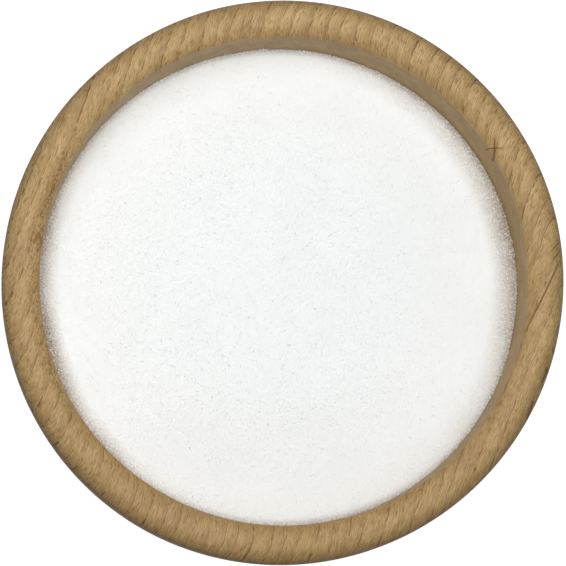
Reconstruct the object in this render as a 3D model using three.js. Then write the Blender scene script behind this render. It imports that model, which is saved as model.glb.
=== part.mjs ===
// A round turned beech bowl, filled with fine white granulated sweetener.
// Millimetres, +Z up. The origin is the middle of the bowl's flat underside.
import * as THREE from 'three';

// The bowl's outside. Its belly leaves the foot at a flat slope and ends upright.
const BOWL_RADIUS = 60;
const BOWL_HEIGHT = 44;
const FOOT_RADIUS = 34;
const FOOT_CHAMFER = 1.2;
const BELLY_FLARE_WIDTH = 17;
const BELLY_FLARE_HEIGHT = 3.8;
const BELLY_UPRIGHT_FROM = 17;

// The rounded bead round the top, two quarter ellipses that meet at its crest
const BEAD_OUTER_WIDTH = 4;
const BEAD_OUTER_DROP = 3.9;
const BEAD_INNER_WIDTH = 3.8;
const BEAD_INNER_DROP = 4.9;

// The bowl's inside: a wall that leans in a little, then a wide rounded corner
const FLOOR_THICKNESS = 7;
const WALL_LEAN = 0.4;
const CORNER_WIDTH = 24;
const CORNER_HEIGHT = 20;

// What fills it. Each swell in its surface is shorter and lower than the one before it.
const FILL_DEPTH_BELOW_BEAD = 11;
const FILL_GAP = 0.3;
const MOUND_HEIGHT = 1.1;
const MOUND_RADIUS = 40;
const MOUND_CENTRE = new THREE.Vector2(9, 7);
const SWELL_COUNT = 7;
const SWELL_LENGTH = 46;
const SWELL_HEIGHT = 0.16;
const SWELL_SHORTENING = 0.72;
const SWELL_LOWERING = 0.8;
const SWELL_TURN = THREE.MathUtils.degToRad(137.5);

// How finely the round shapes are cut
const SIDES = 96;
const BELLY_STEPS = 12;
const BEAD_STEPS = 6;
const CORNER_STEPS = 7;
const FILL_RINGS = 30;

// Heights and radii that follow from those
const crestRadius = BOWL_RADIUS - BEAD_OUTER_WIDTH;
const widestHeight = BOWL_HEIGHT - BEAD_OUTER_DROP;
const mouthRadius = crestRadius - BEAD_INNER_WIDTH;
const wallTop = BOWL_HEIGHT - BEAD_INNER_DROP;
const wallBottom = FLOOR_THICKNESS + CORNER_HEIGHT;
const wallBottomRadius = mouthRadius - WALL_LEAN;
const fillHeight = wallTop - FILL_DEPTH_BELOW_BEAD;

const point = (radius, height) => new THREE.Vector2(radius, height);

// Part of an ellipse from one angle to another, in degrees, both ends included.
function ellipseArc(centre, width, height, from, to, steps) {
  return Array.from({ length: steps + 1 }, (_, i) => {
    const angle = THREE.MathUtils.degToRad(THREE.MathUtils.lerp(from, to, i / steps));
    return point(centre.x + width * Math.cos(angle), centre.y + height * Math.sin(angle));
  });
}

function outerProfile() {
  const belly = new THREE.CubicBezierCurve(
    point(FOOT_RADIUS, FOOT_CHAMFER),
    point(FOOT_RADIUS + BELLY_FLARE_WIDTH, FOOT_CHAMFER + BELLY_FLARE_HEIGHT),
    point(BOWL_RADIUS, BELLY_UPRIGHT_FROM),
    point(BOWL_RADIUS, widestHeight),
  );
  return [
    point(0, 0),
    point(FOOT_RADIUS - FOOT_CHAMFER, 0),
    ...belly.getPoints(BELLY_STEPS),
  ];
}

function beadProfile() {
  const outer = ellipseArc(
    point(crestRadius, widestHeight), BEAD_OUTER_WIDTH, BEAD_OUTER_DROP, 0, 90, BEAD_STEPS);
  const inner = ellipseArc(
    point(crestRadius, wallTop), BEAD_INNER_WIDTH, BEAD_INNER_DROP, 90, 180, BEAD_STEPS);
  return [...outer.slice(1), ...inner.slice(1)];
}

// The rounded corner and floor of the hollow, moved off the wood by an inset.
function cornerProfile(inset) {
  const corner = ellipseArc(
    point(wallBottomRadius - CORNER_WIDTH, wallBottom),
    CORNER_WIDTH - inset, CORNER_HEIGHT - inset, 0, -90, CORNER_STEPS);
  return [...corner, point(0, FLOOR_THICKNESS + inset)];
}

// The hollow's radius at a height between its corner and the bead.
function wallRadius(height) {
  const rise = (height - wallBottom) / (wallTop - wallBottom);
  return THREE.MathUtils.lerp(wallBottomRadius, mouthRadius, rise);
}

// Turns a profile of radius and height about the upright axis.
function turned(profile) {
  return new THREE.LatheGeometry(profile, SIDES).rotateX(Math.PI / 2);
}

// How far the heap stands above its level: one low mound, and swells in many directions.
function heapRelief(x, y) {
  const away = Math.min(Math.hypot(x - MOUND_CENTRE.x, y - MOUND_CENTRE.y) / MOUND_RADIUS, 1);
  let relief = MOUND_HEIGHT * 0.5 * (1 + Math.cos(Math.PI * away));
  for (let i = 0; i < SWELL_COUNT; i += 1) {
    const turn = SWELL_TURN * i;
    const along = x * Math.cos(turn) + y * Math.sin(turn);
    const length = SWELL_LENGTH * SWELL_SHORTENING ** i;
    const height = SWELL_HEIGHT * SWELL_LOWERING ** i;
    relief += height * Math.sin((2 * Math.PI * along) / length + i);
  }
  return relief;
}

function bowlGeometry() {
  return turned([...outerProfile(), ...beadProfile(), ...cornerProfile(0)]);
}

// The fill lines the hollow with a hair's gap, and its top rings follow the relief.
function fillGeometry() {
  const edge = wallRadius(fillHeight) - FILL_GAP;
  const sides = cornerProfile(FILL_GAP).reverse();
  const rings = Array.from({ length: FILL_RINGS + 1 }, (_, i) =>
    point(edge * (1 - i / FILL_RINGS), fillHeight));
  const geometry = turned([...sides, ...rings]);

  const position = geometry.attributes.position;
  for (let i = 0; i < position.count; i += 1) {
    if (position.getZ(i) > fillHeight - FILL_GAP) {
      position.setZ(i, fillHeight + heapRelief(position.getX(i), position.getY(i)));
    }
  }
  geometry.computeVertexNormals();
  return geometry;
}

function subPart(name, geometry, finish) {
  const mesh = new THREE.Mesh(geometry, new THREE.MeshStandardMaterial(finish));
  mesh.name = name;
  return mesh;
}

const filledBowl = new THREE.Group();
filledBowl.add(
  subPart('bowl', bowlGeometry(), { color: 0xb1935f, roughness: 0.6, metalness: 0 }),
  subPart('erythritol', fillGeometry(), { color: 0xf3f4f3, roughness: 0.5, metalness: 0 }),
);

export default filledBowl;
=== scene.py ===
"""A turned beech bowl filled with fine white granulated sweetener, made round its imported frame.

Metres, +Z up. The origin is the middle of the bowl's flat underside, and the wood's fibres run
nearly along +Y, which is up in the main view.
"""

import math

import bmesh
import bpy
import numpy as np
from bpy.props import FloatProperty, FloatVectorProperty, IntProperty, PointerProperty
from bpy.types import Operator, Panel, PropertyGroup
from mathutils import Matrix, Vector


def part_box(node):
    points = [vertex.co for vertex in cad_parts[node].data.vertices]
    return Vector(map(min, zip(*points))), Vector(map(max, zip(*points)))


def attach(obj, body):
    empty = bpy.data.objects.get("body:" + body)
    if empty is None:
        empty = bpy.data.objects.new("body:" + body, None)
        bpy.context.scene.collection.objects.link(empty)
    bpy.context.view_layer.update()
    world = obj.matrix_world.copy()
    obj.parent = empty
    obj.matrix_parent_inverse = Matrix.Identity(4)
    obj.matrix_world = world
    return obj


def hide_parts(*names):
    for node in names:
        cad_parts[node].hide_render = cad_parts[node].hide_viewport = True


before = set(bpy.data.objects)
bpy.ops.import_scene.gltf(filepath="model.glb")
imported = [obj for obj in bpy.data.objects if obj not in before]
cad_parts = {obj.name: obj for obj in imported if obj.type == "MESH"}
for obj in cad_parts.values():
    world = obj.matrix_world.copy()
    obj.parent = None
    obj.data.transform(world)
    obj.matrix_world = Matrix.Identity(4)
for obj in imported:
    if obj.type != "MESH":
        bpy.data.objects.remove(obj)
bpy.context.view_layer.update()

bl_info = {
    "name": "Filled Beech Bowl",
    "version": (1, 0, 0),
    "blender": (4, 5, 0),
    "location": "3D View > Sidebar > Filled Bowl",
    "description": "Makes a turned beech bowl filled with fine white crystals",
    "category": "Object",
}

MM = 0.001
BODY = "root"
BOWL_NODE = "bowl"
HEAP_NODE = "erythritol"
WOOD_SLOT = "beech"
GRANULE_SLOT = "granules"
SAWN = "sawn"

BOWL_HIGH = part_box(BOWL_NODE)[1]


# ---------------------------------------------------------------- sizes and colours


def length(name, description, millimetres):
    """A size that a user may change, given here in millimetres."""
    return FloatProperty(name=name, description=description, default=millimetres * MM,
                         unit="LENGTH", precision=5)


def angle(name, description, degrees):
    return FloatProperty(name=name, description=description, default=math.radians(degrees),
                         subtype="ANGLE")


def number(name, description, default):
    return FloatProperty(name=name, description=description, default=default, precision=3)


def count(name, description, default):
    return IntProperty(name=name, description=description, default=default, min=1)


def colour(name, description, default):
    return FloatVectorProperty(name=name, description=description, default=default,
                               subtype="COLOR", size=3, min=0.0, max=1.0)


class BowlShape(PropertyGroup):
    radius: length("Radius", "Half the bowl's widest diameter", BOWL_HIGH.x / MM)
    height: length("Height", "From the table to the crest of the bead", BOWL_HIGH.z / MM)
    foot_radius: length("Foot radius", "Where the foot meets the belly", 34)
    foot_height: length("Foot height", "Height and rounding of the foot's edge", 1.2)
    flare_width: length("Flare width", "How far the belly's curve heads outwards", 17)
    flare_height: length("Flare height", "How far that heading climbs", 3.8)
    upright_from: length("Upright from", "Height that the belly's upper curve heads for", 17)
    bead_outer_width: length("Bead outer width", "From the crest to the outside", 4)
    bead_outer_drop: length("Bead outer drop", "From the crest down to the widest line", 3.9)
    bead_inner_width: length("Bead inner width", "From the crest to the inner wall", 4.1)
    bead_inner_drop: length("Bead inner drop", "From the crest down to the inner wall", 4.9)
    bead_inner_reach: length("Bead inner reach", "Where its inner curve would be upright", 4.7)
    bead_inner_depth: length("Bead inner depth", "How deep that curve would end", 4.2)
    brink: length("Brink", "Rounding where the bead meets the inner wall", 0.8)
    floor: length("Floor", "Thickness of the bowl's floor", 7)
    wall_lean: length("Wall lean", "How much narrower the wall is at its foot", 0.3)
    corner_width: length("Corner width", "Width of the hollow's rounded corner", 24)
    corner_height: length("Corner height", "Height of the hollow's rounded corner", 20)
    sides: count("Sides", "Faces round the bowl", 288)
    oval: length("Oval", "How much the wood has shrunk out of round", 0.463)
    oval_heading: angle("Oval heading", "Direction of the longer diameter, from +X", 56.8)
    oval_inside: number("Oval inside", "Share of that shrinking that the hollow shows", 0.45)
    wobble: length("Wobble", "Unevenness left by hand sanding", 0.12)


class BeechFinish(PropertyGroup):
    pale: colour("Pale wood", "Colour of the palest wood", (0.650, 0.458, 0.212))
    tan: colour("Tan wood", "Colour of the darker, browner wood", (0.375, 0.236, 0.096))
    # Also the colour of the painted contact shade on the inner wall above the heap
    fleck: colour("Fleck", "Colour of pores and ray flecks", (0.16, 0.080, 0.027))
    rosy: colour("Rosy wood", "Colour of the pinkish patches", (0.43, 0.262, 0.129))
    streak: colour("Streak", "Colour of the thin pale streaks", (0.64, 0.463, 0.222))
    knot: colour("Knot", "Colour of the wood round the pin knot", (0.29, 0.15, 0.05))
    dark_side: number("Dark side", "How much browner the wood is on the side towards -Y", 0.5)
    fibre_lean: angle("Fibre lean", "Turn of the fibres away from +Y, clockwise", 18)
    ring_tilt: angle("Ring tilt", "How far the growth rings lean over in the middle", 2)
    tilt_change: FloatVectorProperty(
        name="Tilt change", description="Change of the ring tilt over one metre along X and Y",
        default=(math.radians(250), math.radians(250), 0.0), subtype="XYZ")
    ring_width: length("Ring width", "Thickness of one year's growth", 3.1)


class HeapShape(PropertyGroup):
    below_bead: length("Below the bead", "Depth of the heap's level under the inner wall's top", 11)
    mound_height: length("Mound height", "Height of the low mound", 1.1)
    mound_radius: length("Mound radius", "Reach of the low mound", 40)
    mound_x: length("Mound X", "Place of the mound", 9)
    mound_y: length("Mound Y", "Place of the mound", 7)
    swell_length: length("Swell length", "Length of the longest swell", 46)
    swell_height: length("Swell height", "Height of the longest swell", 0.16)
    into_wall: length("Into the wall", "How far the bed reaches into the wood", 0.3)
    grain: length("Grain", "Size of the grains that the bed's relief shows", 0.55)
    relief: length("Relief", "Height of the bed's relief", 0.06)


class CrystalSizes(PropertyGroup):
    smallest: length("Smallest", "Width of the smallest crystal", 0.24)
    largest: length("Largest", "Width of the largest crystal", 0.55)
    per_kind: count("Crystals of a kind", "How many crystals each kind has", 9000)
    lift: length("Lift", "How far crystals lie above or below their own level", 0.08)
    cling: length("Cling", "How high crystals cling to the wall above the bed", 1.6)


class StudioSettings(PropertyGroup):
    tilt: angle("Tilt", "Angle between the view and straight down", 8.25)
    bearing: angle("Bearing", "Side that the camera stands on, from +X", 231.3)
    distance: length("Distance", "From the camera to the point it looks at", 900)
    frame_width: length("Frame width", "Width of the picture at that point", 120.03)
    aim: FloatVectorProperty(name="Aim", description="Point that the camera looks at",
                             default=(-0.23 * MM, -0.48 * MM, 40 * MM), unit="LENGTH")
    light: number("Light", "Brightness of all the lamps together", 1.0)
    room: number("Room", "Brightness of the room round the table", 0.05)


# ---------------------------------------------------------------- node trees


class Tree:
    """Builds a node tree step by step. Values given to a node may be numbers or other sockets."""

    def __init__(self, tree):
        self.tree = tree
        self.placed = 0

    def add(self, kind, inputs=None, **settings):
        node = self.tree.nodes.new(kind)
        node.location = (220 * (self.placed % 12), -320 * (self.placed // 12))
        self.placed += 1
        for name, value in settings.items():
            setattr(node, name, value)
        for key, value in (inputs or {}).items():
            self.feed(node.inputs[key], value)
        return node

    def feed(self, socket, value):
        if isinstance(value, bpy.types.NodeSocket):
            self.tree.links.new(value, socket)
        else:
            socket.default_value = value

    def math(self, operation, first, second=0.0, clamp=False):
        node = self.add("ShaderNodeMath", {0: first, 1: second}, operation=operation)
        node.use_clamp = clamp
        return node.outputs[0]

    def product(self, first, *others):
        for other in others:
            first = self.math("MULTIPLY", first, other)
        return first

    def sum(self, first, *others):
        for other in others:
            first = self.math("ADD", first, other)
        return first

    def less(self, first, second):
        """The first number less the second."""
        return self.math("SUBTRACT", first, second)

    def per(self, size):
        """One divided by a size, which is the scale of a pattern of that size."""
        return self.math("DIVIDE", 1.0, size)

    def vector(self, operation, first, second=(0.0, 0.0, 0.0)):
        node = self.add("ShaderNodeVectorMath", {0: first, 1: second}, operation=operation)
        return node.outputs["Value" if operation in {"LENGTH", "DOT_PRODUCT"} else "Vector"]

    def scaled(self, vector, factor):
        return self.add("ShaderNodeVectorMath", {0: vector, "Scale": factor},
                        operation="SCALE").outputs["Vector"]

    def parts(self, vector):
        return self.add("ShaderNodeSeparateXYZ", {0: vector}).outputs

    def joined(self, x=0.0, y=0.0, z=0.0):
        return self.add("ShaderNodeCombineXYZ", {0: x, 1: y, 2: z}).outputs[0]

    def out(self, x, y):
        """Distance from the Z axis."""
        return self.vector("LENGTH", self.joined(x, y))

    def turned(self, vector, angle, axis):
        return self.add("ShaderNodeVectorRotate", {"Vector": vector, "Angle": angle},
                        rotation_type=axis + "_AXIS").outputs[0]

    def ramp(self, value, low, high, to_low=0.0, to_high=1.0):
        """A smooth step from one value to another."""
        return self.add(
            "ShaderNodeMapRange",
            {"Value": value, "From Min": low, "From Max": high,
             "To Min": to_low, "To Max": to_high},
            interpolation_type="SMOOTHSTEP").outputs["Result"]

    def noise(self, vector, detail=2.0, roughness=0.5, scale=1.0):
        return self.add("ShaderNodeTexNoise", {"Vector": vector, "Scale": scale,
                                               "Detail": detail, "Roughness": roughness})

    def blend(self, factor, first, second, mode="MIX"):
        node = self.add("ShaderNodeMix", data_type="RGBA", blend_type=mode)
        for index, value in ((0, factor), (6, first), (7, second)):
            self.feed(node.inputs[index], value)
        return node.outputs[2]

    def giving(self, *values):
        """Feeds the group's outputs in their order, and returns its tree."""
        for socket, value in zip(self.result.inputs, values):
            self.feed(socket, value)
        return self.tree


KINDS = {"float": "NodeSocketFloat", "int": "NodeSocketInt", "vector": "NodeSocketVector",
         "colour": "NodeSocketColor", "geometry": "NodeSocketGeometry",
         "material": "NodeSocketMaterial", "object": "NodeSocketObject"}


def new_group(name, kind, inputs, outputs):
    """A node group's builder, and its inputs by name. Sockets are told as in "float Width, Start;
    vector Place": a kind, then the names of that kind."""
    tree = bpy.data.node_groups.new(name, kind)
    for sockets, side in ((inputs, "INPUT"), (outputs, "OUTPUT")):
        for run in sockets.split("; "):
            socket_kind, names = run.split(" ", 1)
            for socket_name in names.split(", "):
                tree.interface.new_socket(socket_name, in_out=side,
                                          socket_type=KINDS[socket_kind])
    n = Tree(tree)
    given = n.add("NodeGroupInput").outputs
    n.result = n.add("NodeGroupOutput")
    return n, given


def grown(name, base, tree, values):
    """Runs a geometry tree on a base mesh and returns the result as a plain mesh object."""
    carrier = bpy.data.objects.new(name + "_base", base)
    modifier = carrier.modifiers.new("Form", "NODES")
    modifier.node_group = tree
    for item in tree.interface.items_tree:
        if item.item_type == "SOCKET" and item.in_out == "INPUT" and item.name in values:
            modifier[item.identifier] = values[item.name]
    bpy.context.scene.collection.objects.link(carrier)
    bpy.context.view_layer.update()
    depsgraph = bpy.context.evaluated_depsgraph_get()
    mesh = bpy.data.meshes.new_from_object(carrier.evaluated_get(depsgraph),
                                           depsgraph=depsgraph)
    bpy.data.objects.remove(carrier)
    mesh.name = name
    piece = bpy.data.objects.new(name, mesh)
    bpy.context.scene.collection.objects.link(piece)
    return piece


def finished(piece, slot, *nodes):
    """Joins a piece to the frame: its body, and the solids it stands for, which it hides. The slot
    is not used.
    """
    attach(piece, BODY)
    if nodes:
        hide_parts(*nodes)
    return piece


# ---------------------------------------------------------------- the bowl's form


def ellipse_arc(centre, width, height, start, stop, steps):
    """Points of radius and height on part of an ellipse, angles in degrees, both ends included."""
    turns = np.radians(np.linspace(start, stop, steps + 1))
    return [(centre[0] + width * math.cos(t), centre[1] + height * math.sin(t)) for t in turns]


def straight(start, stop, steps):
    return list(zip(np.linspace(start[0], stop[0], steps + 1),
                    np.linspace(start[1], stop[1], steps + 1)))


def belly_curve(shape, steps):
    """The cubic curve from the foot up to the widest line."""
    widest = shape.height - shape.bead_outer_drop
    handles = np.array([
        (shape.foot_radius, shape.foot_height),
        (shape.foot_radius + shape.flare_width, shape.foot_height + shape.flare_height),
        (shape.radius, shape.upright_from),
        (shape.radius, widest),
    ])
    t = np.linspace(0, 1, steps + 1)[:, None]
    weights = np.hstack([(1 - t) ** 3, 3 * t * (1 - t) ** 2, 3 * t * t * (1 - t), t ** 3])
    return [tuple(p) for p in weights @ handles]


def mouth_radius(shape):
    return shape.radius - shape.bead_outer_width - shape.bead_inner_width


def wall_top(shape):
    return shape.height - shape.bead_inner_drop


def wall_radius(shape, height):
    """The hollow's radius at a height between its corner and the bead."""
    bottom = shape.floor + shape.corner_height
    rise = (height - bottom) / (wall_top(shape) - bottom)
    return mouth_radius(shape) - shape.wall_lean * (1 - rise)


def corner_arc(shape, steps):
    """The hollow's rounded corner, from the wall's foot down to the floor."""
    width, height = shape.corner_width, shape.corner_height
    centre = (mouth_radius(shape) - shape.wall_lean - width, shape.floor + height)
    return ellipse_arc(centre, width, height, 0, -90, steps)


def inner_bead(shape, steps):
    """The bead's inner half: a curve that is cut short by the wall, with a rounded brink."""
    crest = shape.radius - shape.bead_outer_width
    reach, depth = shape.bead_inner_reach, shape.bead_inner_depth
    cut = 180 - math.degrees(math.acos((shape.bead_inner_width - shape.brink * 0.6) / reach))
    curve = ellipse_arc((crest, shape.height - depth), reach, depth, 90, cut, steps)
    (r0, z0), (r1, z1) = curve[-2:]
    corner = (mouth_radius(shape), z1 - (r1 - mouth_radius(shape)) * (z0 - z1) / (r0 - r1))
    below = (mouth_radius(shape), corner[1] - shape.brink)
    t = np.linspace(0, 1, 7)[1:, None]
    bend = (1 - t) ** 2 * curve[-1] + 2 * t * (1 - t) * corner + t * t * below
    return curve + [tuple(p) for p in bend]


def bowl_profile(shape):
    """Radius and height all the way round half the bowl's section, from axis to axis."""
    crest = shape.radius - shape.bead_outer_width
    foot = shape.foot_height
    bead = inner_bead(shape, 20)
    runs = [
        straight((0, 0), (shape.foot_radius - foot, 0), 14),
        ellipse_arc((shape.foot_radius - foot, foot), foot, foot, -90, 0, 6),
        belly_curve(shape, 64),
        ellipse_arc((crest, shape.height - shape.bead_outer_drop),
                    shape.bead_outer_width, shape.bead_outer_drop, 0, 90, 22),
        bead,
        straight(bead[-1], corner_arc(shape, 1)[0], 20),
        corner_arc(shape, 20),
        straight(corner_arc(shape, 1)[-1], (0, shape.floor), 6),
    ]
    return runs[0] + [p for run in runs[1:] for p in run[1:]]


def profile_mesh(profile):
    mesh = bpy.data.meshes.new("bowl_profile")
    mesh.from_pydata([(r, 0, z) for r, z in profile],
                     [(i, i + 1) for i in range(len(profile) - 1)], [])
    return mesh


def along_wood(n, place, vector, given):
    """Turns a vector into the wood's own directions at a place: the fibres lean the same way
    all over, the growth rings more on one side of the bowl than on the other."""
    tilt = n.sum(given["Ring Tilt"], n.vector("DOT_PRODUCT", place, given["Tilt Change"]))
    level = n.turned(vector, given["Fibre Lean"], "Z")
    return n.turned(level, n.less(tilt, math.pi / 2), "Y")


def turned_form_tree():
    """Turns a profile in the XZ plane about Z, then pulls it a little oval, most on its
    outside, and uneven, and notes which way each point of the wood was sawn."""
    n, given = new_group(
        "Turned Form", "GeometryNodeTree",
        "geometry Profile; int Sides; float Radius, Mouth Radius, Oval, Oval Inside, "
        "Oval Direction, Wobble, Wobble Size, Sharp Above, Fibre Lean, Ring Tilt; "
        "vector Tilt Change; material Material", "geometry Form")
    rows = n.add("GeometryNodeAttributeDomainSize", {0: given["Profile"]}).outputs["Point Count"]
    grid = n.add("GeometryNodeMeshGrid",
                 {"Size X": 1.0, "Size Y": 1.0, "Vertices Y": rows,
                  "Vertices X": n.sum(given["Sides"], 1.0)}).outputs["Mesh"]
    place = n.add("GeometryNodeInputPosition").outputs[0]
    across = n.parts(place)
    turn = n.product(n.sum(across[0], 0.5), math.tau)
    row = n.math("ROUND", n.product(n.sum(across[1], 0.5), n.less(rows, 1.0)))
    on_profile = n.add("GeometryNodeSampleIndex",
                       {"Geometry": given["Profile"]}, data_type="FLOAT_VECTOR")
    n.feed(on_profile.inputs["Value"], place)
    n.feed(on_profile.inputs["Index"], row)
    swung = n.turned(on_profile.outputs["Value"], turn, "Z")
    shell = n.add("GeometryNodeSetPosition", {"Geometry": grid, "Position": swung}).outputs[0]
    closed = n.add("GeometryNodeMergeByDistance",
                   {"Geometry": shell, "Distance": 0.002 * MM}).outputs[0]

    x, y, z = n.parts(place)
    heading = n.less(n.math("ARCTAN2", y, x), given["Oval Direction"])
    share = n.ramp(n.out(x, y), given["Mouth Radius"], given["Radius"], given["Oval Inside"], 1.0)
    stretch = n.product(n.math("COSINE", n.product(heading, 2.0)),
                        n.math("DIVIDE", given["Oval"], given["Radius"]), share)
    oval = n.vector("MULTIPLY", place, n.joined(stretch, stretch))
    waver = n.noise(n.scaled(place, n.per(given["Wobble Size"])), detail=1.0).outputs["Fac"]
    lift = n.product(n.less(waver, 0.5), given["Wobble"])
    above_table = n.ramp(z, 1.0 * MM, 6.0 * MM)
    normal = n.add("GeometryNodeInputNormal").outputs[0]
    uneven = n.scaled(normal, n.product(lift, above_table))
    form = n.add("GeometryNodeSetPosition",
                 {"Geometry": closed, "Offset": n.vector("ADD", oval, uneven)}).outputs[0]
    smooth = n.add("GeometryNodeSetShadeSmooth", {"Geometry": form, "Shade Smooth": True},
                   domain="FACE").outputs[0]
    bend = n.add("GeometryNodeInputMeshEdgeAngle").outputs["Unsigned Angle"]
    sharp = n.add("GeometryNodeSetShadeSmooth",
                  {"Geometry": smooth, "Shade Smooth": False,
                   "Selection": n.math("GREATER_THAN", bend, given["Sharp Above"])},
                  domain="EDGE").outputs[0]
    sawn = n.add("GeometryNodeStoreNamedAttribute",
                 {"Geometry": sharp, "Name": SAWN,
                  "Value": n.vector("ABSOLUTE", along_wood(n, place, normal, given))},
                 data_type="FLOAT_VECTOR", domain="POINT").outputs[0]
    return n.giving(n.add("GeometryNodeSetMaterial",
                          {"Geometry": sawn, "Material": given["Material"]}).outputs[0])


# ---------------------------------------------------------------- the heap's form

SWELL_COUNT = 7
SWELL_SHORTENING = 0.72
SWELL_LOWERING = 0.8
SWELL_TURN = math.radians(137.5)
BED_CELLS = 290
CRYSTAL_FIELD_CELLS = 110
FIELD_CLEARANCE = 0.05 * MM


def heap_level(shape, heap):
    return wall_top(shape) - heap.below_bead


def heap_relief(heap, x, y):
    """How far the heap stands above its level: one low mound, and swells in many directions."""
    away = np.minimum(np.hypot(x - heap.mound_x, y - heap.mound_y) / heap.mound_radius, 1)
    relief = heap.mound_height * 0.5 * (1 + np.cos(np.pi * away))
    for i in range(SWELL_COUNT):
        turn = SWELL_TURN * i
        along = x * math.cos(turn) + y * math.sin(turn)
        wave = heap.swell_length * SWELL_SHORTENING ** i
        relief += heap.swell_height * SWELL_LOWERING ** i * np.sin(math.tau * along / wave + i)
    return relief


def disc_grid(radius, cells):
    """A square grid pressed into a disc: x and y of its points, and its four-sided faces."""
    side = np.linspace(-1, 1, cells + 1)
    u, v = np.meshgrid(side, side)
    x = radius * u * np.sqrt(1 - v * v / 2)
    y = radius * v * np.sqrt(1 - u * u / 2)
    corner = np.arange(cells * (cells + 1)).reshape(cells, cells + 1)[:, :-1].ravel()
    faces = np.stack([corner, corner + 1, corner + cells + 2, corner + cells + 1], axis=1)
    return x.ravel(), y.ravel(), faces


def grid_edge(cells):
    """Indices of a grid's outer points, once round anticlockwise."""
    side = cells + 1
    index = np.arange(side * side).reshape(side, side)
    return np.concatenate([index[0, :-1], index[:-1, -1], index[-1, :0:-1], index[:0:-1, 0]])


def heap_top(shape, heap, radius, cells):
    """Points and faces of the heap's surface, without its grains."""
    x, y, faces = disc_grid(radius, cells)
    z = heap_level(shape, heap) + heap_relief(heap, x, y)
    return np.stack([x, y, z], axis=1), faces


def heap_body(shape, heap):
    """The closed core: the surface, then sides that follow the hollow down to its floor."""
    edge_radius = wall_radius(shape, heap_level(shape, heap)) + heap.into_wall
    points, faces = heap_top(shape, heap, edge_radius, BED_CELLS)
    rim = grid_edge(BED_CELLS)
    turns = np.arctan2(points[rim, 1], points[rim, 0])
    loops, body_points, body_faces = [rim], [points], [tuple(f) for f in faces]
    total = len(points)
    for radius, height in corner_arc(shape, 5):
        radius += heap.into_wall
        ring = np.stack([radius * np.cos(turns), radius * np.sin(turns),
                         np.full(len(turns), height)], axis=1)
        body_points.append(ring)
        loops.append(np.arange(total, total + len(ring)))
        total += len(ring)
    for upper, lower in zip(loops, loops[1:]):
        ahead = np.roll(np.arange(len(upper)), -1)
        body_faces += [tuple(f) for f in
                       np.stack([upper, lower, lower[ahead], upper[ahead]], axis=1)]
    body_faces.append(tuple(loops[-1][::-1]))
    mesh = bpy.data.meshes.new("heap_core")
    mesh.from_pydata(np.concatenate(body_points).tolist(), [], body_faces)
    return mesh


def crystal_field(shape, heap):
    """The open surface that loose crystals are strewn on, clear of the wood."""
    radius = wall_radius(shape, heap_level(shape, heap)) - FIELD_CLEARANCE
    points, faces = heap_top(shape, heap, radius, CRYSTAL_FIELD_CELLS)
    mesh = bpy.data.meshes.new("crystal_field")
    mesh.from_pydata(points.tolist(), [], faces.tolist())
    return mesh


def faceted(n, geometry, material):
    """Flat faces all over, and the material."""
    flat = n.add("GeometryNodeSetShadeSmooth",
                 {"Geometry": geometry, "Shade Smooth": False}).outputs[0]
    return n.add("GeometryNodeSetMaterial", {"Geometry": flat, "Material": material}).outputs[0]


def grain_relief_tree():
    """Raises grains and small clumps on the part of a body that faces up."""
    n, given = new_group(
        "Grain Relief", "GeometryNodeTree",
        "geometry Body; float Grain, Height, Clump, Clump Height, Level; material Material",
        "geometry Bed")
    place = n.add("GeometryNodeInputPosition").outputs[0]
    cells = n.add("ShaderNodeTexVoronoi",
                  {"Vector": place, "Scale": n.per(given["Grain"]), "Randomness": 1.0})
    size = n.sum(n.parts(cells.outputs["Color"])[0], 0.35)
    grains = n.product(n.less(0.5, cells.outputs["Distance"]), size, given["Height"])
    clumps = n.noise(place, detail=1.0, scale=n.per(given["Clump"])).outputs["Fac"]
    swell = n.product(n.less(clumps, 0.5), given["Clump Height"])
    on_top = n.math("GREATER_THAN", n.parts(place)[2], given["Level"])
    raised = n.add("GeometryNodeSetPosition",
                   {"Geometry": given["Body"], "Selection": on_top,
                    "Offset": n.joined(z=n.sum(grains, swell))}).outputs[0]
    return n.giving(faceted(n, raised, given["Material"]))


# ---------------------------------------------------------------- the loose crystals

# What each kind of crystal looks like: corners, and length and thickness against width.
CRYSTAL_KINDS = {
    "prism": (10, 1.5, 0.85),
    "block": (9, 1.1, 0.95),
    "shard": (8, 1.9, 0.6),
    "chip": (9, 1.25, 0.5),
    "lump": (10, 1.0, 1.0),
}
# Away from the wall the crystals lie this many lifts lower
SUNK_IN_MIDDLE = 1.3
# What is added to a kind's seed for each of its draws, and from one kind's seed to the next
RISE, CLIMB, WIDTH, TURN, STRETCH = range(101, 106)
SEED_STEP = 7


def crystal_mesh(name, corners, long, thick, seed):
    """A small closed crystal of unit width with flat faces: the hull of scattered corners."""
    draw = np.random.default_rng(seed)
    points = draw.normal(size=(corners, 3))
    points /= np.linalg.norm(points, axis=1)[:, None]
    points = np.sign(points) * np.abs(points) ** 0.7
    points *= 0.5 * np.array([1.0, long, thick]) / np.abs(points).max(axis=0)
    form = bmesh.new()
    for point in points:
        form.verts.new(point)
    bmesh.ops.convex_hull(form, input=form.verts)
    loose = [v for v in form.verts if not v.link_faces]
    bmesh.ops.delete(form, geom=loose, context="VERTS")
    bmesh.ops.triangulate(form, faces=form.faces)
    bmesh.ops.recalc_face_normals(form, faces=form.faces)
    mesh = bpy.data.meshes.new(name)
    form.to_mesh(mesh)
    form.free()
    return mesh


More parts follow.
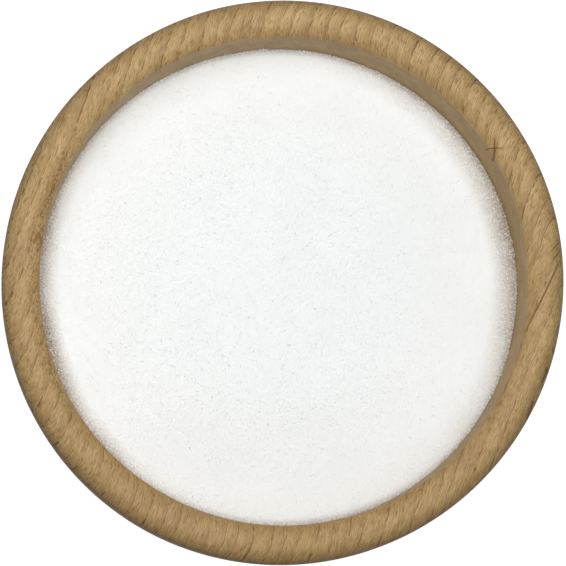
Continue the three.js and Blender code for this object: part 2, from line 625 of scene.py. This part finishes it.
def strewn_crystals_tree():
    """Strews one kind of crystal over a surface, turned every way and sunk into it. The ones that
    touch the wall cling to it at any height up to the given one, fewer of them the higher."""
    n, given = new_group(
        "Strewn Crystals", "GeometryNodeTree",
        "geometry Surface; object Crystal; float Density, Smallest, Largest, Lift, Cling, "
        "Cling From, Cling To; int Seed; material Material", "geometry Crystals")
    spots = n.add("GeometryNodeDistributePointsOnFaces",
                  {"Mesh": given["Surface"], "Density": given["Density"],
                   "Seed": given["Seed"]}, distribute_method="RANDOM").outputs["Points"]

    def drawn(low, high, step, kind="FLOAT"):
        node = n.add("FunctionNodeRandomValue", data_type=kind)
        at = {"FLOAT": (2, 3, 1), "FLOAT_VECTOR": (0, 1, 0)}[kind]
        n.feed(node.inputs[at[0]], low)
        n.feed(node.inputs[at[1]], high)
        n.feed(node.inputs["Seed"], n.sum(given["Seed"], float(step)))
        return node.outputs[at[2]]

    x, y, _ = n.parts(n.add("GeometryNodeInputPosition").outputs[0])
    at_wall = n.ramp(n.out(x, y), given["Cling From"], given["Cling To"])
    sunk = n.product(n.less(1.0, at_wall), SUNK_IN_MIDDLE)
    rise = n.product(n.less(drawn(-1.0, 1.0, RISE), sunk), given["Lift"])
    climb = n.product(n.math("POWER", drawn(0.0, 1.0, CLIMB), 2.0), given["Cling"])
    height = n.sum(rise, n.product(climb, at_wall))
    lifted = n.add("GeometryNodeSetPosition",
                   {"Geometry": spots, "Offset": n.joined(z=height)}).outputs[0]
    width = n.add("ShaderNodeMapRange",
                  {"Value": n.math("POWER", drawn(0.0, 1.0, WIDTH), 1.6),
                   "To Min": given["Smallest"], "To Max": given["Largest"]}).outputs["Result"]
    form = n.add("GeometryNodeObjectInfo", {"Object": given["Crystal"]}).outputs["Geometry"]
    turned = drawn((-math.pi,) * 3, (math.pi,) * 3, TURN, "FLOAT_VECTOR")
    stretch = drawn((0.8,) * 3, (1.2,) * 3, STRETCH, "FLOAT_VECTOR")
    placed = n.add("GeometryNodeInstanceOnPoints",
                   {"Points": lifted, "Instance": form, "Rotation": turned,
                    "Scale": n.scaled(stretch, width)}).outputs[0]
    solid = n.add("GeometryNodeRealizeInstances", {"Geometry": placed}).outputs[0]
    return n.giving(faceted(n, solid, given["Material"]))


# ---------------------------------------------------------------- the finishes


def wood_run_group():
    """Turns a place into the wood's own directions: X across, Y along the fibres, Z outwards
    through the growth rings."""
    n, given = new_group(
        "Wood Run", "ShaderNodeTree",
        "vector Place; float Fibre Lean, Ring Tilt; vector Tilt Change; float Rim Height, "
        "Waver, Waver Size, Ripple, Ripple Size; vector Knot; float Knot Reach, Knot Push",
        "vector Run; float Near Knot")
    place, middle = given["Place"], (0.5, 0.5, 0.5)
    to_knot = n.math("DIVIDE", n.vector("LENGTH", n.vector("SUBTRACT", place, given["Knot"])),
                     given["Knot Reach"])
    near = n.math("POWER", math.e, n.product(to_knot, to_knot, -1.0))
    slow = n.noise(place, scale=n.per(given["Waver Size"])).outputs["Color"]
    quick = n.noise(place, detail=1.0, scale=n.per(given["Ripple Size"])).outputs["Color"]
    reach = n.product(given["Waver"], n.sum(1.0, n.product(near, 2.0)))
    shift = n.vector("ADD", n.scaled(n.vector("SUBTRACT", slow, middle), reach),
                     n.scaled(n.vector("SUBTRACT", quick, middle), given["Ripple"]))
    moved = n.vector("SUBTRACT", n.vector("ADD", place, shift), n.joined(z=given["Rim Height"]))
    pushed = n.joined(z=n.product(near, given["Knot Push"]))
    return n.giving(n.vector("ADD", along_wood(n, place, moved, given), pushed), near)


def growth_rings_group():
    """Each ring darkens slowly and ends in a thin line, which is broken into dashes."""
    n, given = new_group("Growth Rings", "ShaderNodeTree",
                         "vector Run; float Ring Width, Line Width, Dash",
                         "float Late Wood, Ring Line")
    years = n.math("DIVIDE", n.parts(given["Run"])[2], given["Ring Width"])
    drift = n.noise(n.joined(years), detail=0.0, scale=0.55).outputs["Fac"]
    season = n.math("FRACT", n.sum(years, n.product(drift, 1.2)))
    late = n.product(n.ramp(season, 0.35, 0.93), n.ramp(season, 1.0, 0.97))
    edge = n.product(n.less(1.0, season), given["Ring Width"])
    line = n.ramp(edge, given["Line Width"], n.product(given["Line Width"], 0.3))
    broken = n.noise(n.scaled(given["Run"], n.per(given["Dash"])), detail=1.0).outputs["Fac"]
    return n.giving(late, n.product(line, n.ramp(broken, 0.44, 0.57)))


def flecks_group():
    """Scattered spindles that lie along the fibres, each of its own strength."""
    n, given = new_group(
        "Flecks", "ShaderNodeTree",
        "vector Run; float Across, Along, Outwards, Fullness, Share, Start", "float Fleck")
    full, start = given["Fullness"], given["Start"]
    cells = n.vector("DIVIDE", given["Run"],
                     n.joined(given["Across"], given["Along"], given["Outwards"]))
    cells = n.vector("ADD", cells, n.joined(start, start, start))
    spots = n.add("ShaderNodeTexVoronoi", {"Vector": cells, "Scale": 1.0, "Randomness": 1.0})
    body = n.ramp(spots.outputs["Distance"], full, n.product(full, 0.35))
    strength, chance, _ = n.parts(spots.outputs["Color"])
    present = n.math("LESS_THAN", chance, given["Share"])
    shown = n.product(present, n.sum(n.product(strength, 0.65), 0.35))
    return n.giving(n.product(body, shown))


def fibres_group():
    """Fine streaks drawn out along the fibres and, less far, along the rings, from 0 to 1."""
    n, given = new_group("Fibres", "ShaderNodeTree",
                         "vector Run; float Thickness, Across, Along, Start", "float Streak")
    drawn = n.vector("DIVIDE", given["Run"],
                     n.joined(given["Across"], given["Along"], given["Thickness"]))
    drawn = n.vector("ADD", drawn, n.joined(given["Start"], 0.0, given["Start"]))
    return n.giving(n.noise(drawn, roughness=0.6).outputs["Fac"])


def hairline_group():
    """A thin dark line between two places, seen from above, that fades at both ends."""
    n, given = new_group("Hairline", "ShaderNodeTree",
                         "vector Place, Start, Stop; float Width, Above", "float Line")
    flat, start, stop = (n.vector("MULTIPLY", given[name], (1.0, 1.0, 0.0))
                         for name in ("Place", "Start", "Stop"))
    way = n.vector("SUBTRACT", stop, start)
    gone = n.vector("SUBTRACT", flat, start)
    share = n.math("DIVIDE", n.vector("DOT_PRODUCT", gone, way),
                   n.vector("DOT_PRODUCT", way, way), clamp=True)
    off = n.vector("LENGTH", n.vector("SUBTRACT", gone, n.scaled(way, share)))
    fade = n.product(share, n.less(1.0, share), 4.0)
    body = n.ramp(off, given["Width"], n.product(given["Width"], 0.25))
    top = n.math("GREATER_THAN", n.parts(given["Place"])[2], given["Above"])
    return n.giving(n.product(body, n.product(n.math("POWER", fade, 0.4), top)))


def turning_lines_group():
    """Faint lines round the axis that a lathe tool leaves, from 0 to 1."""
    n, given = new_group("Turning Lines", "ShaderNodeTree", "vector Place; float Pitch",
                         "float Mark")
    x, y, z = n.parts(given["Place"])
    track = n.math("DIVIDE", n.less(n.out(x, y), n.product(z, 0.9)), given["Pitch"])
    return n.giving(n.noise(n.joined(track)).outputs["Fac"])


def curls_group():
    """Thin wavy lines, as where the fibres of the wood curl, from 0 to 1."""
    n, given = new_group("Curls", "ShaderNodeTree", "vector Place; float Curl Size, Thickness",
                         "float Curl")
    bent = n.noise(given["Place"], detail=1.0, scale=n.per(given["Curl Size"])).outputs["Fac"]
    return n.giving(n.ramp(n.math("ABSOLUTE", n.less(bent, 0.5)), given["Thickness"], 0.0))


def mottle_group():
    """Slow, soft patches, from 0 to 1, for colour that isn't the same all over."""
    n, given = new_group("Mottle", "ShaderNodeTree", "vector Place; float Patch, Start",
                         "float Patch Value, Patch Tint")
    place = n.vector("ADD", given["Place"], n.joined(given["Start"], given["Start"]))
    soft = n.noise(place, scale=n.per(given["Patch"]))
    tint = n.parts(soft.outputs["Color"])[1]
    return n.giving(n.ramp(soft.outputs["Fac"], 0.3, 0.7), n.ramp(tint, 0.3, 0.7))


SHARED_GROUPS = {
    "Wood Run": wood_run_group,
    "Growth Rings": growth_rings_group,
    "Flecks": flecks_group,
    "Fibres": fibres_group,
    "Hairline": hairline_group,
    "Turning Lines": turning_lines_group,
    "Curls": curls_group,
    "Mottle": mottle_group,
}


def use(n, name, **inputs):
    """Places a shared group, built on its first use, its inputs named in words joined by _."""
    group = bpy.data.node_groups.get(name) or SHARED_GROUPS[name]()
    node = n.add("ShaderNodeGroup", node_tree=group)
    for key, value in inputs.items():
        n.feed(node.inputs[key.replace("_", " ").title()], value)
    return node.outputs


def new_material(name):
    """A material with a Principled shader, its builder and that shader."""
    material = bpy.data.materials.new(name)
    material.use_nodes = True
    material.node_tree.nodes.clear()
    n = Tree(material.node_tree)
    shader = n.add("ShaderNodeBsdfPrincipled")
    n.add("ShaderNodeOutputMaterial", {"Surface": shader.outputs[0]})
    return material, n, shader


# A pin knot on the left of the bead, and hairline checks on its right: start, end and width
KNOT = (-0.0521, 0.0078, 0.0427)
CHECKS = (
    ((0.0509, -0.0112, 0.0), (0.0594, 0.0061, 0.0), 0.29 * MM),
    ((0.0569, 0.0045, 0.0), (0.0589, 0.0069, 0.0), 0.22 * MM),
    ((0.0567, 0.0065, 0.0), (0.0588, 0.0089, 0.0), 0.22 * MM),
    ((0.0448, 0.0256, 0.0), (0.0447, 0.0308, 0.0), 0.28 * MM),
    ((0.0431, 0.0286, 0.0), (0.0466, 0.0285, 0.0), 0.2 * MM),
)
# The knot's two legs, which meet at its upper end
KNOT_LEGS = (
    ((-0.0519, 0.0096, 0.0), (-0.0533, 0.0068, 0.0), 0.5 * MM),
    ((-0.0521, 0.0095, 0.0), (-0.0513, 0.0065, 0.0), 0.4 * MM),
)


def opaque(rgb):
    return (*rgb, 1.0)


def beech_material(wood, shape, heap):
    """Turned beech: rings, streaks, pores, ray flecks, curls, a pin knot and hairline checks,
    and painted contact shade on the inner wall just above the heap.
    """
    material, n, shader = new_material("turned_beech")
    place = n.add("ShaderNodeTexCoord").outputs["Object"]
    wood_run = use(n, "Wood Run", place=place, fibre_lean=wood.fibre_lean,
                   ring_tilt=wood.ring_tilt, tilt_change=wood.tilt_change,
                   rim_height=shape.height, waver=1.5 * MM, waver_size=11 * MM,
                   ripple=0.35 * MM, ripple_size=2.4 * MM,
                   knot=KNOT, knot_reach=4 * MM, knot_push=1.4 * MM)
    run = wood_run["Run"]
    rings = use(n, "Growth Rings", run=run, ring_width=wood.ring_width,
                line_width=0.3 * MM, dash=1.9 * MM)
    fine = use(n, "Fibres", run=run, thickness=0.13 * MM, across=1.2 * MM,
               along=1.7 * MM)["Streak"]
    bold = use(n, "Fibres", run=run, thickness=0.26 * MM, across=1.3 * MM,
               along=2.3 * MM, start=31.0)["Streak"]
    rays = use(n, "Flecks", run=run, across=0.55 * MM, along=3.0 * MM,
               outwards=4 * MM, fullness=0.27, share=0.8)["Fleck"]
    pores = use(n, "Flecks", run=run, across=1.3 * MM, along=2.8 * MM,
                outwards=0.42 * MM, fullness=0.3, share=0.5, start=17.3)["Fleck"]
    mottle = use(n, "Mottle", place=place, patch=6 * MM)
    turning = use(n, "Turning Lines", place=place, pitch=0.28 * MM)["Mark"]

    sawn = n.add("ShaderNodeAttribute", attribute_name=SAWN).outputs["Vector"]
    _, end_grain, flat_sawn = n.parts(sawn)
    x, y, z = n.parts(place)
    out = n.out(x, y)
    facing = n.add("ShaderNodeNewGeometry").outputs["Normal"]
    inwards = n.math("DIVIDE", n.vector("DOT_PRODUCT", facing, n.joined(x, y)), out)
    inside = n.ramp(inwards, -0.78, -0.93)
    clear = n.less(1.0, n.product(inside, 0.75))
    inner, bead_foot = mouth_radius(shape), shape.height - 5 * MM
    curled = n.product(n.ramp(x, -40 * MM, -49 * MM),
                       n.ramp(out, inner + 3.5 * MM, inner + 1.2 * MM))
    curls = n.product(curled, use(n, "Curls", place=place, curl_size=1.1 * MM,
                                  thickness=0.06)["Curl"])
    outer_slope = n.ramp(out, shape.radius - 2.8 * MM, shape.radius - 0.7 * MM, 0.65, 1.0)
    on_rim = n.ramp(z, shape.height - 11 * MM, bead_foot, 0.25, 1.0)
    dashes = n.product(rays, n.ramp(flat_sawn, 0.35, 0.75))
    level = heap_level(shape, heap)
    # Painted contact shade: the inner wall darkened just above the heap, where the heap shades it
    painted_contact_shade = n.ramp(z, level + 1.5 * MM, level + 0.3 * MM, 0.0, 0.12)

    def shown(value, share):
        return n.product(value, share, clear)

    def scored(start, stop, width, share):
        return n.product(use(n, "Hairline", place=place, start=start, stop=stop, width=width,
                             above=bead_foot)["Line"], share)

    # How much each layer covers of those under it, and its colour
    layers = [
        (n.product(mottle["Patch Value"], 0.4), wood.tan),
        (n.product(mottle["Patch Tint"], 0.35), wood.rosy),
        # The wood darker and browner towards -Y
        (n.ramp(y, shape.radius, -shape.radius, 0.0, wood.dark_side), wood.tan),
        (shown(n.ramp(end_grain, 0.12, 0.85), 0.55), wood.tan),
        (shown(rings["Late Wood"], 0.6), wood.tan),
        (shown(n.ramp(fine, 0.53, 0.39), 0.85), wood.tan),
        (shown(n.ramp(fine, 0.42, 0.30), 0.55), wood.fleck),
        (shown(n.ramp(bold, 0.53, 0.65), 0.4), wood.streak),
        (shown(n.ramp(bold, 0.43, 0.29), 0.5), wood.fleck),
        (n.product(rings["Ring Line"], outer_slope, on_rim, clear), wood.fleck),
        (shown(pores, 0.6), wood.fleck),
        (shown(curls, 0.65), wood.fleck),
        (shown(dashes, 0.85), wood.fleck),
        *((scored(*check, 0.9), wood.fleck) for check in CHECKS),
        (n.ramp(wood_run["Near Knot"], 0.82, 0.97, 0.0, 0.35), wood.knot),
        *((scored(*leg, 0.95), wood.knot) for leg in KNOT_LEGS),
        (n.product(inside, n.ramp(turning, 0.45, 0.65, 0.0, 0.2)), wood.fleck),
        # Painted contact shade on the inner wall, in the fleck colour
        (n.product(inside, painted_contact_shade), wood.fleck),
    ]
    body = opaque(wood.pale)
    for share, tone in layers:
        body = n.blend(share, body, opaque(tone))
    n.feed(shader.inputs["Base Color"], body)

    grain = n.product(fine, 0.045 * MM)
    hollow = n.product(n.math("MAXIMUM", pores, dashes), -0.03 * MM)
    ridges = n.product(turning, n.product(inside, 0.02 * MM))
    bump = n.add("ShaderNodeBump", {"Height": n.sum(grain, hollow, ridges), "Distance": 1.0,
                                    "Strength": 1.0})
    n.feed(shader.inputs["Normal"], bump.outputs[0])
    n.feed(shader.inputs["Roughness"], n.ramp(fine, 0.2, 0.8, 0.62, 0.48))
    shader.inputs["IOR"].default_value = 1.45
    shader.inputs["Specular IOR Level"].default_value = 0.25
    return material


# Where the heap's painted shade is strongest: under the brink on this side, and along this line
# across it
NEAR_SIDE = (-0.63, -0.78, 0.0)
MOST_SHADED_ACROSS = (0.97, 0.24, 0.0)


# The heap's two whites, the grey-brown of its painted shade by the wall, tinted as by light bounced
# off the wood, and the painted shade between its grains
DULL_WHITE = (0.92, 0.945, 0.94, 1.0)
CLEAR_WHITE = (0.94, 0.96, 0.955, 1.0)
PAINTED_WALL_SHADE = (0.33, 0.24, 0.145, 1.0)
GRAIN_SHADE = (0.45, 0.43, 0.40, 1.0)


def granule_material(name, wall, roughness, bump_height, painted_shade):
    """Clear white crystals that look matt as a heap: nearly white, with a faint mottle. Next to the
    wall they carry painted shade in grey-brown, for the wall's shade and for the light that the
    crystals pass on into the wood, with painted shade between the grains there, and the heap has a
    faint painted shade towards -Y. Light that spreads from grain to grain is stood for by normals
    that lean upwards, less so near the wall, where the grains stand out one by one."""
    material, n, shader = new_material(name)
    place = n.add("ShaderNodeTexCoord").outputs["Object"]
    slow = use(n, "Mottle", place=place, patch=16 * MM, start=3.0)
    quick = use(n, "Mottle", place=place, patch=0.32 * MM, start=5.0)
    x, y, _ = n.parts(place)
    out = n.out(x, y)
    near, across = (n.math("DIVIDE", n.vector("DOT_PRODUCT", place, way), out)
                    for way in (NEAR_SIDE, MOST_SHADED_ACROSS))
    # Painted shade by the wall, up to the wall or, on the near side, to the brink that hides it: a
    # broad band, strongest along one line across the heap, and a narrow band all round. The stain
    # argument sets how strong this painted shade is
    edge = n.less(wall, n.ramp(near, -0.3, 1.0, 0.0, 0.5 * MM))
    patchy = n.sum(0.75, n.product(slow["Patch Tint"], 0.5))
    share = n.product(n.math("POWER", n.math("ABSOLUTE", across), 3.0), 0.74)
    reach = n.ramp(x, -40 * MM, 40 * MM, 4.2 * MM, 6.5 * MM)
    broad_wall_shade = n.product(share, patchy, n.ramp(out, n.less(edge, reach), edge))
    narrow_wall_shade = n.ramp(out, n.less(edge, 1.6 * MM), n.sum(edge, 0.3 * MM), 0.0, 0.52)
    # Painted shade: the heap a little darker towards -Y
    low = n.ramp(y, -15 * MM, -45 * MM, 0.0, 0.07)
    unshaded = n.product(n.less(1.0, broad_wall_shade), n.less(1.0, narrow_wall_shade), n.less(1.0, low))
    speck = n.ramp(quick["Patch Tint"], 0.35, 0.6, painted_shade - 0.25, painted_shade + 0.1)
    # How much painted shade each point gets, all bands together
    depth = n.math("MULTIPLY", n.less(1.0, unshaded), speck, clamp=True)
    grains = n.sum(0.01, n.product(depth, 0.45))
    body = n.blend(slow["Patch Value"], DULL_WHITE, CLEAR_WHITE)
    # The painted wall shade in grey-brown, then painted shade between the grains, most near the
    # wall
    body = n.blend(depth, body, PAINTED_WALL_SHADE)
    body = n.blend(n.product(quick["Patch Value"], grains), body, GRAIN_SHADE, "MULTIPLY")
    n.feed(shader.inputs["Base Color"], body)
    n.feed(shader.inputs["Roughness"],
           n.ramp(quick["Patch Value"], 0.0, 1.0, roughness * 0.7, roughness * 1.3))
    facing = n.add("ShaderNodeNewGeometry").outputs["Normal"]
    softness = n.ramp(out, wall - 6 * MM, wall - 1 * MM, 0.87, 0.35)
    leaning = n.vector("ADD", n.scaled(facing, n.less(1.0, softness)), n.joined(z=softness))
    fine = n.noise(place, scale=1 / (0.12 * MM)).outputs["Fac"]
    bump = n.add("ShaderNodeBump", {"Height": n.product(fine, bump_height),
                                    "Distance": 1.0, "Strength": 1.0,
                                    "Normal": n.vector("NORMALIZE", leaning)})
    n.feed(shader.inputs["Normal"], bump.outputs[0])
    shader.inputs["IOR"].default_value = 1.54
    shader.inputs["Specular IOR Level"].default_value = 0.3
    return material


# ---------------------------------------------------------------- operators

# The table's half width, how far it lies under the foot, and how much of its glow the camera
# and the part's own shine see
TABLE_SIDE, TABLE_GAP = 3.0, 0.05 * MM
TABLE_SEEN, TABLE_MIRRORED = 0.95, 0.5
# The stage's lamps: heading from +X and climb in degrees, distance, width and power
LAMPS = {
    "overhead": (0, 90, 0.65, 0.4, 2.3),
    "near": (130, 70, 0.42, 0.25, 0.45),
    "far": (330, 66, 1.0, 0.5, 0.75),
}


class OBJECT_OT_bowl_stage(Operator):
    """Sets the pale table, the soft lights and the camera of the main view"""

    bl_idname = "object.bowl_stage"
    bl_label = "Stage"

    def execute(self, context):
        studio = context.scene.bowl_studio
        self.make_table()
        self.make_lights(context.scene, studio)
        self.make_camera(context.scene, studio)
        context.scene.view_settings.view_transform = "Standard"
        return {"FINISHED"}

    def make_table(self):
        mesh = bpy.data.meshes.new("table")
        mesh.from_pydata([(x * TABLE_SIDE, y * TABLE_SIDE, -TABLE_GAP) for x, y in
                          ((-1, -1), (1, -1), (1, 1), (-1, 1))], [], [(0, 1, 2, 3)])
        table = bpy.data.objects.new("table", mesh)
        bpy.context.scene.collection.objects.link(table)
        material, n, shader = new_material("pale_table")
        place = n.add("ShaderNodeTexCoord").outputs["Object"]
        soft = n.noise(place, scale=30.0).outputs["Fac"]
        n.feed(shader.inputs["Base Color"],
               n.blend(soft, (0.28, 0.28, 0.28, 1.0), (0.31, 0.31, 0.31, 1.0)))
        shader.inputs["Roughness"].default_value = 0.8
        shader.inputs["Emission Color"].default_value = (1.0, 1.0, 1.0, 1.0)
        ray = n.add("ShaderNodeLightPath").outputs
        n.feed(shader.inputs["Emission Strength"],
               n.sum(n.product(ray["Is Camera Ray"], TABLE_SEEN),
                     n.product(ray["Is Glossy Ray"], TABLE_MIRRORED)))
        mesh.materials.append(material)

    def make_lights(self, scene, studio):
        for name, (heading, climb, distance, width, power) in LAMPS.items():
            data = bpy.data.lights.new(name, "AREA")
            data.shape = "DISK"
            data.size = width
            data.energy = power * studio.light
            lamp = bpy.data.objects.new(name, data)
            heading, climb = math.radians(heading), math.radians(climb)
            lamp.location = distance * Vector((math.cos(climb) * math.cos(heading),
                                               math.cos(climb) * math.sin(heading),
                                               math.sin(climb)))
            lamp.rotation_euler = (-lamp.location).to_track_quat("-Z", "Y").to_euler()
            scene.collection.objects.link(lamp)
        world = bpy.data.worlds.new("room")
        world.use_nodes = True
        world.node_tree.nodes["Background"].inputs["Strength"].default_value = studio.room
        world.node_tree.nodes["Background"].inputs["Color"].default_value = (1, 1, 1, 1)
        scene.world = world

    def make_camera(self, scene, studio):
        data = bpy.data.cameras.new("view")
        data.lens = data.sensor_width * studio.distance / studio.frame_width
        data.clip_start = 0.01
        camera = bpy.data.objects.new("view", data)
        back = Vector((math.sin(studio.tilt) * math.cos(studio.bearing),
                       math.sin(studio.tilt) * math.sin(studio.bearing),
                       math.cos(studio.tilt)))
        up = Vector((0, 1, 0))
        up = (up - back * up.dot(back)).normalized()
        turn = Matrix((up.cross(back), up, back)).transposed()
        camera.matrix_world = (
            Matrix.Translation(Vector(studio.aim) + back * studio.distance) @ turn.to_4x4())
        scene.collection.objects.link(camera)
        scene.camera = camera


class OBJECT_OT_turned_bowl(Operator):
    """Makes the turned beech bowl in place of its solid"""

    bl_idname = "object.turned_bowl"
    bl_label = "Turned Bowl"

    def execute(self, context):
        scene = context.scene
        shape, wood = scene.bowl_shape, scene.bowl_finish
        bowl = grown("turned_bowl", profile_mesh(bowl_profile(shape)), turned_form_tree(), {
            "Sides": shape.sides,
            "Radius": shape.radius,
            "Mouth Radius": mouth_radius(shape),
            "Oval": shape.oval,
            "Oval Inside": shape.oval_inside,
            "Oval Direction": shape.oval_heading,
            "Wobble": shape.wobble,
            "Wobble Size": 35 * MM,
            "Sharp Above": math.radians(30),
            "Fibre Lean": wood.fibre_lean,
            "Ring Tilt": wood.ring_tilt,
            "Tilt Change": wood.tilt_change,
            "Material": beech_material(wood, shape, scene.bowl_heap),
        })
        finished(bowl, WOOD_SLOT, BOWL_NODE)
        return {"FINISHED"}


class OBJECT_OT_granule_bed(Operator):
    """Makes the heap's core, with its grains as relief, in place of its solid"""

    bl_idname = "object.granule_bed"
    bl_label = "Granule Bed"

    def execute(self, context):
        shape, heap = context.scene.bowl_shape, context.scene.bowl_heap
        bed = grown("granule_bed", heap_body(shape, heap), grain_relief_tree(), {
            "Grain": heap.grain,
            "Height": heap.relief,
            "Clump": 2.6 * MM,
            "Clump Height": 0.12 * MM,
            "Level": heap_level(shape, heap) - 1 * MM,
            # The bed shows the painted shade by the wall at full strength
            "Material": granule_material(
                "granule_bed", wall_radius(shape, heap_level(shape, heap)),
                roughness=0.5, bump_height=0.007 * MM, painted_shade=1.0),
        })
        finished(bed, GRANULE_SLOT, HEAP_NODE)
        return {"FINISHED"}


class OBJECT_OT_loose_crystals(Operator):
    """Strews every kind of loose crystal over the heap, each kind as one piece"""

    bl_idname = "object.loose_crystals"
    bl_label = "Loose Crystals"

    def execute(self, context):
        scene = context.scene
        shape, heap, sizes = scene.bowl_shape, scene.bowl_heap, scene.bowl_crystals
        wall = wall_radius(shape, heap_level(shape, heap))
        density = sizes.per_kind / (math.pi * wall * wall)
        # The loose crystals show half as much painted shade by the wall
        material = granule_material("loose_crystal", wall, roughness=0.3,
                                    bump_height=0.004 * MM, painted_shade=0.5)
        tree = strewn_crystals_tree()
        for seed, (kind, (corners, long, thick)) in enumerate(CRYSTAL_KINDS.items(), start=1):
            pattern = bpy.data.objects.new(
                kind, crystal_mesh(kind, corners, long, thick, seed))
            crystals = grown("crystals_" + kind, crystal_field(shape, heap), tree, {
                "Crystal": pattern,
                "Density": density,
                "Smallest": sizes.smallest,
                "Largest": sizes.largest,
                "Lift": sizes.lift,
                "Cling": sizes.cling,
                "Cling From": wall - sizes.largest,
                "Cling To": wall - sizes.smallest,
                "Seed": seed * SEED_STEP,
                "Material": material,
            })
            bpy.data.objects.remove(pattern)
            finished(crystals, GRANULE_SLOT)
        return {"FINISHED"}


class VIEW3D_PT_filled_bowl(Panel):
    """Lists the bowl's makers and their sizes"""

    bl_label = "Filled Bowl"
    bl_space_type = "VIEW_3D"
    bl_region_type = "UI"
    bl_category = "Filled Bowl"

    def draw(self, context):
        for operator, settings in STEPS:
            box = self.layout.box()
            box.operator(operator.bl_idname)
            for name in settings:
                group = getattr(context.scene, name)
                for key in group.__annotations__:
                    box.prop(group, key)


STEPS = (
    (OBJECT_OT_bowl_stage, ("bowl_studio",)),
    (OBJECT_OT_turned_bowl, ("bowl_shape", "bowl_finish")),
    (OBJECT_OT_granule_bed, ("bowl_heap",)),
    (OBJECT_OT_loose_crystals, ("bowl_crystals",)),
)
SETTINGS = {
    "bowl_shape": BowlShape,
    "bowl_finish": BeechFinish,
    "bowl_heap": HeapShape,
    "bowl_crystals": CrystalSizes,
    "bowl_studio": StudioSettings,
}
CLASSES = (*SETTINGS.values(), *(operator for operator, _ in STEPS), VIEW3D_PT_filled_bowl)


def register():
    for item in CLASSES:
        bpy.utils.register_class(item)
    for name, group in SETTINGS.items():
        setattr(bpy.types.Scene, name, PointerProperty(type=group))


def unregister():
    for name in SETTINGS:
        delattr(bpy.types.Scene, name)
    for item in reversed(CLASSES):
        bpy.utils.unregister_class(item)


def main():
    register()
    bpy.ops.object.bowl_stage()
    bpy.ops.object.turned_bowl()
    bpy.ops.object.granule_bed()
    bpy.ops.object.loose_crystals()


if __name__ == "__main__":
    main()
